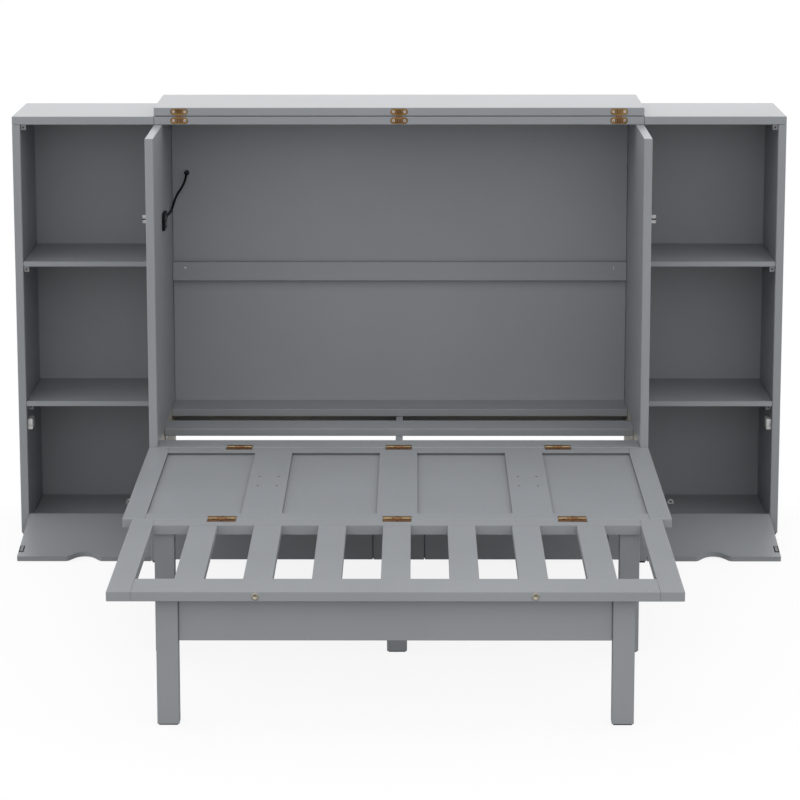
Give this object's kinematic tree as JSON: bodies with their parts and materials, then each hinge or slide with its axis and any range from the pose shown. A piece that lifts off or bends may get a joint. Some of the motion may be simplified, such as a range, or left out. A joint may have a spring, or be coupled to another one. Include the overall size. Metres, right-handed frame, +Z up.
{
  "type": "cabinet wall bed",
  "caption": "Wall bed cabinet with a fold-out panelled section, slatted foot section, folding legs, lid leaf, drawers and side shelf units with drop flaps.",
  "frame": {"origin": "on the floor, under the middle of the opened-out object's bounding box", "axes": "+Z up, +Y towards the wall behind the cabinet, +X to the right seen from the foot of the bed"},
  "size_m": [2.276, 2.352, 1.288],
  "materials": {
    "grey_paint": "satin mid-grey paint on solid wood and board",
    "back_board": "satin mid-grey paint on thin board",
    "drawer_box_board": "pale unpainted board",
    "brass_hinge": "brushed bronze-brown",
    "black_plastic": "matte",
    "white_plastic": "satin",
    "steel": "zinc-plated"
  },
  "bodies": {
    "cabinet": {"left_side_panel": "grey_paint", "right_side_panel": "grey_paint", "fixed_top_leaf": "grey_paint", "cabinet_back_panel": "back_board", "mattress_batten": "grey_paint", "front_platform_slat": "grey_paint", "rear_platform_slat": "grey_paint", "platform_centre_rail": "grey_paint", "base_frame": "grey_paint", "rear_stretcher": "grey_paint", "left_unit_outer_side": "grey_paint", "left_unit_top": "grey_paint", "left_unit_upper_shelf": "grey_paint", "left_unit_lower_shelf": "grey_paint", "left_unit_floor": "grey_paint", "left_unit_back": "back_board", "left_touch_latch": "white_plastic", "right_unit_outer_side": "grey_paint", "right_unit_top": "grey_paint", "right_unit_upper_shelf": "grey_paint", "right_unit_lower_shelf": "grey_paint", "right_unit_floor": "grey_paint", "right_unit_back": "back_board", "right_touch_latch": "white_plastic", "power_outlet": "black_plastic", "outlet_cord": "black_plastic", "cord_grommet": "black_plastic"},
    "lid": {"lid_leaf": "grey_paint"},
    "middle_section": {"middle_frame": "grey_paint", "middle_panel_1": "grey_paint", "middle_panel_2": "grey_paint", "middle_panel_3": "grey_paint", "middle_panel_4": "grey_paint", "middle_hinge_leaf_1": "brass_hinge", "middle_hinge_leaf_2": "brass_hinge", "middle_hinge_leaf_3": "brass_hinge"},
    "foot_section": {"foot_frame": "grey_paint", "foot_slat_1": "grey_paint", "foot_slat_2": "grey_paint", "foot_slat_3": "grey_paint", "foot_slat_4": "grey_paint", "foot_slat_5": "grey_paint", "foot_slat_6": "grey_paint", "foot_slat_7": "grey_paint", "foot_hinge_leaf_1": "brass_hinge", "foot_hinge_leaf_2": "brass_hinge", "foot_hinge_leaf_3": "brass_hinge"},
    "front_legs": {"left_front_leg": "grey_paint", "right_front_leg": "grey_paint", "leg_apron": "grey_paint"},
    "left_mid_leg": {"left_mid_leg": "grey_paint"},
    "centre_mid_leg": {"centre_mid_leg": "grey_paint"},
    "right_mid_leg": {"right_mid_leg": "grey_paint"},
    "left_drawer": {"left_drawer_front": "grey_paint", "left_drawer_box": "drawer_box_board"},
    "left_flap": {"left_flap": "grey_paint"},
    "right_drawer": {"right_drawer_front": "grey_paint", "right_drawer_box": "drawer_box_board"},
    "right_flap": {"right_flap": "grey_paint"}
  },
  "joints": [
    {"name": "lid_fold", "type": "hinge", "parent": "cabinet", "child": "lid", "pos_m": [0, 0.807, 1.263], "axis": [1, 0, 0], "range_deg": [0, 180]},
    {"name": "bed_lift", "type": "hinge", "parent": "cabinet", "child": "middle_section", "pos_m": [0, 0.4605, 0.345], "axis": [-1, 0, 0], "range_deg": [0, 90]},
    {"name": "foot_fold", "type": "hinge", "parent": "middle_section", "child": "foot_section", "pos_m": [0, -0.4265, 0.345], "axis": [-1, 0, 0], "range_deg": [0, 180]},
    {"name": "front_legs_fold", "type": "hinge", "parent": "foot_section", "child": "front_legs", "pos_m": [0, -1.099, 0.3185], "axis": [1, 0, 0], "range_deg": [0, 90]},
    {"name": "left_mid_leg_fold", "type": "hinge", "parent": "foot_section", "child": "left_mid_leg", "pos_m": [0, -0.4894, 0.3185], "axis": [-1, 0, 0], "range_deg": [0, 90]},
    {"name": "centre_mid_leg_fold", "type": "hinge", "parent": "foot_section", "child": "centre_mid_leg", "pos_m": [0, -0.4894, 0.3185], "axis": [-1, 0, 0], "range_deg": [0, 90]},
    {"name": "right_mid_leg_fold", "type": "hinge", "parent": "foot_section", "child": "right_mid_leg", "pos_m": [0, -0.4894, 0.3185], "axis": [-1, 0, 0], "range_deg": [0, 90]},
    {"name": "left_drawer_slide", "type": "slide", "parent": "cabinet", "child": "left_drawer", "axis": [0, -1, 0], "range_m": [0, 0.42]},
    {"name": "left_flap_drop", "type": "hinge", "parent": "cabinet", "child": "left_flap", "pos_m": [0, 0.808, 0.051], "axis": [-1, 0, 0], "range_deg": [0, 98.72]},
    {"name": "right_drawer_slide", "type": "slide", "parent": "cabinet", "child": "right_drawer", "axis": [0, -1, 0], "range_m": [0, 0.42]},
    {"name": "right_flap_drop", "type": "hinge", "parent": "cabinet", "child": "right_flap", "pos_m": [0, 0.808, 0.051], "axis": [-1, 0, 0], "range_deg": [0, 98.72]}
  ]
}
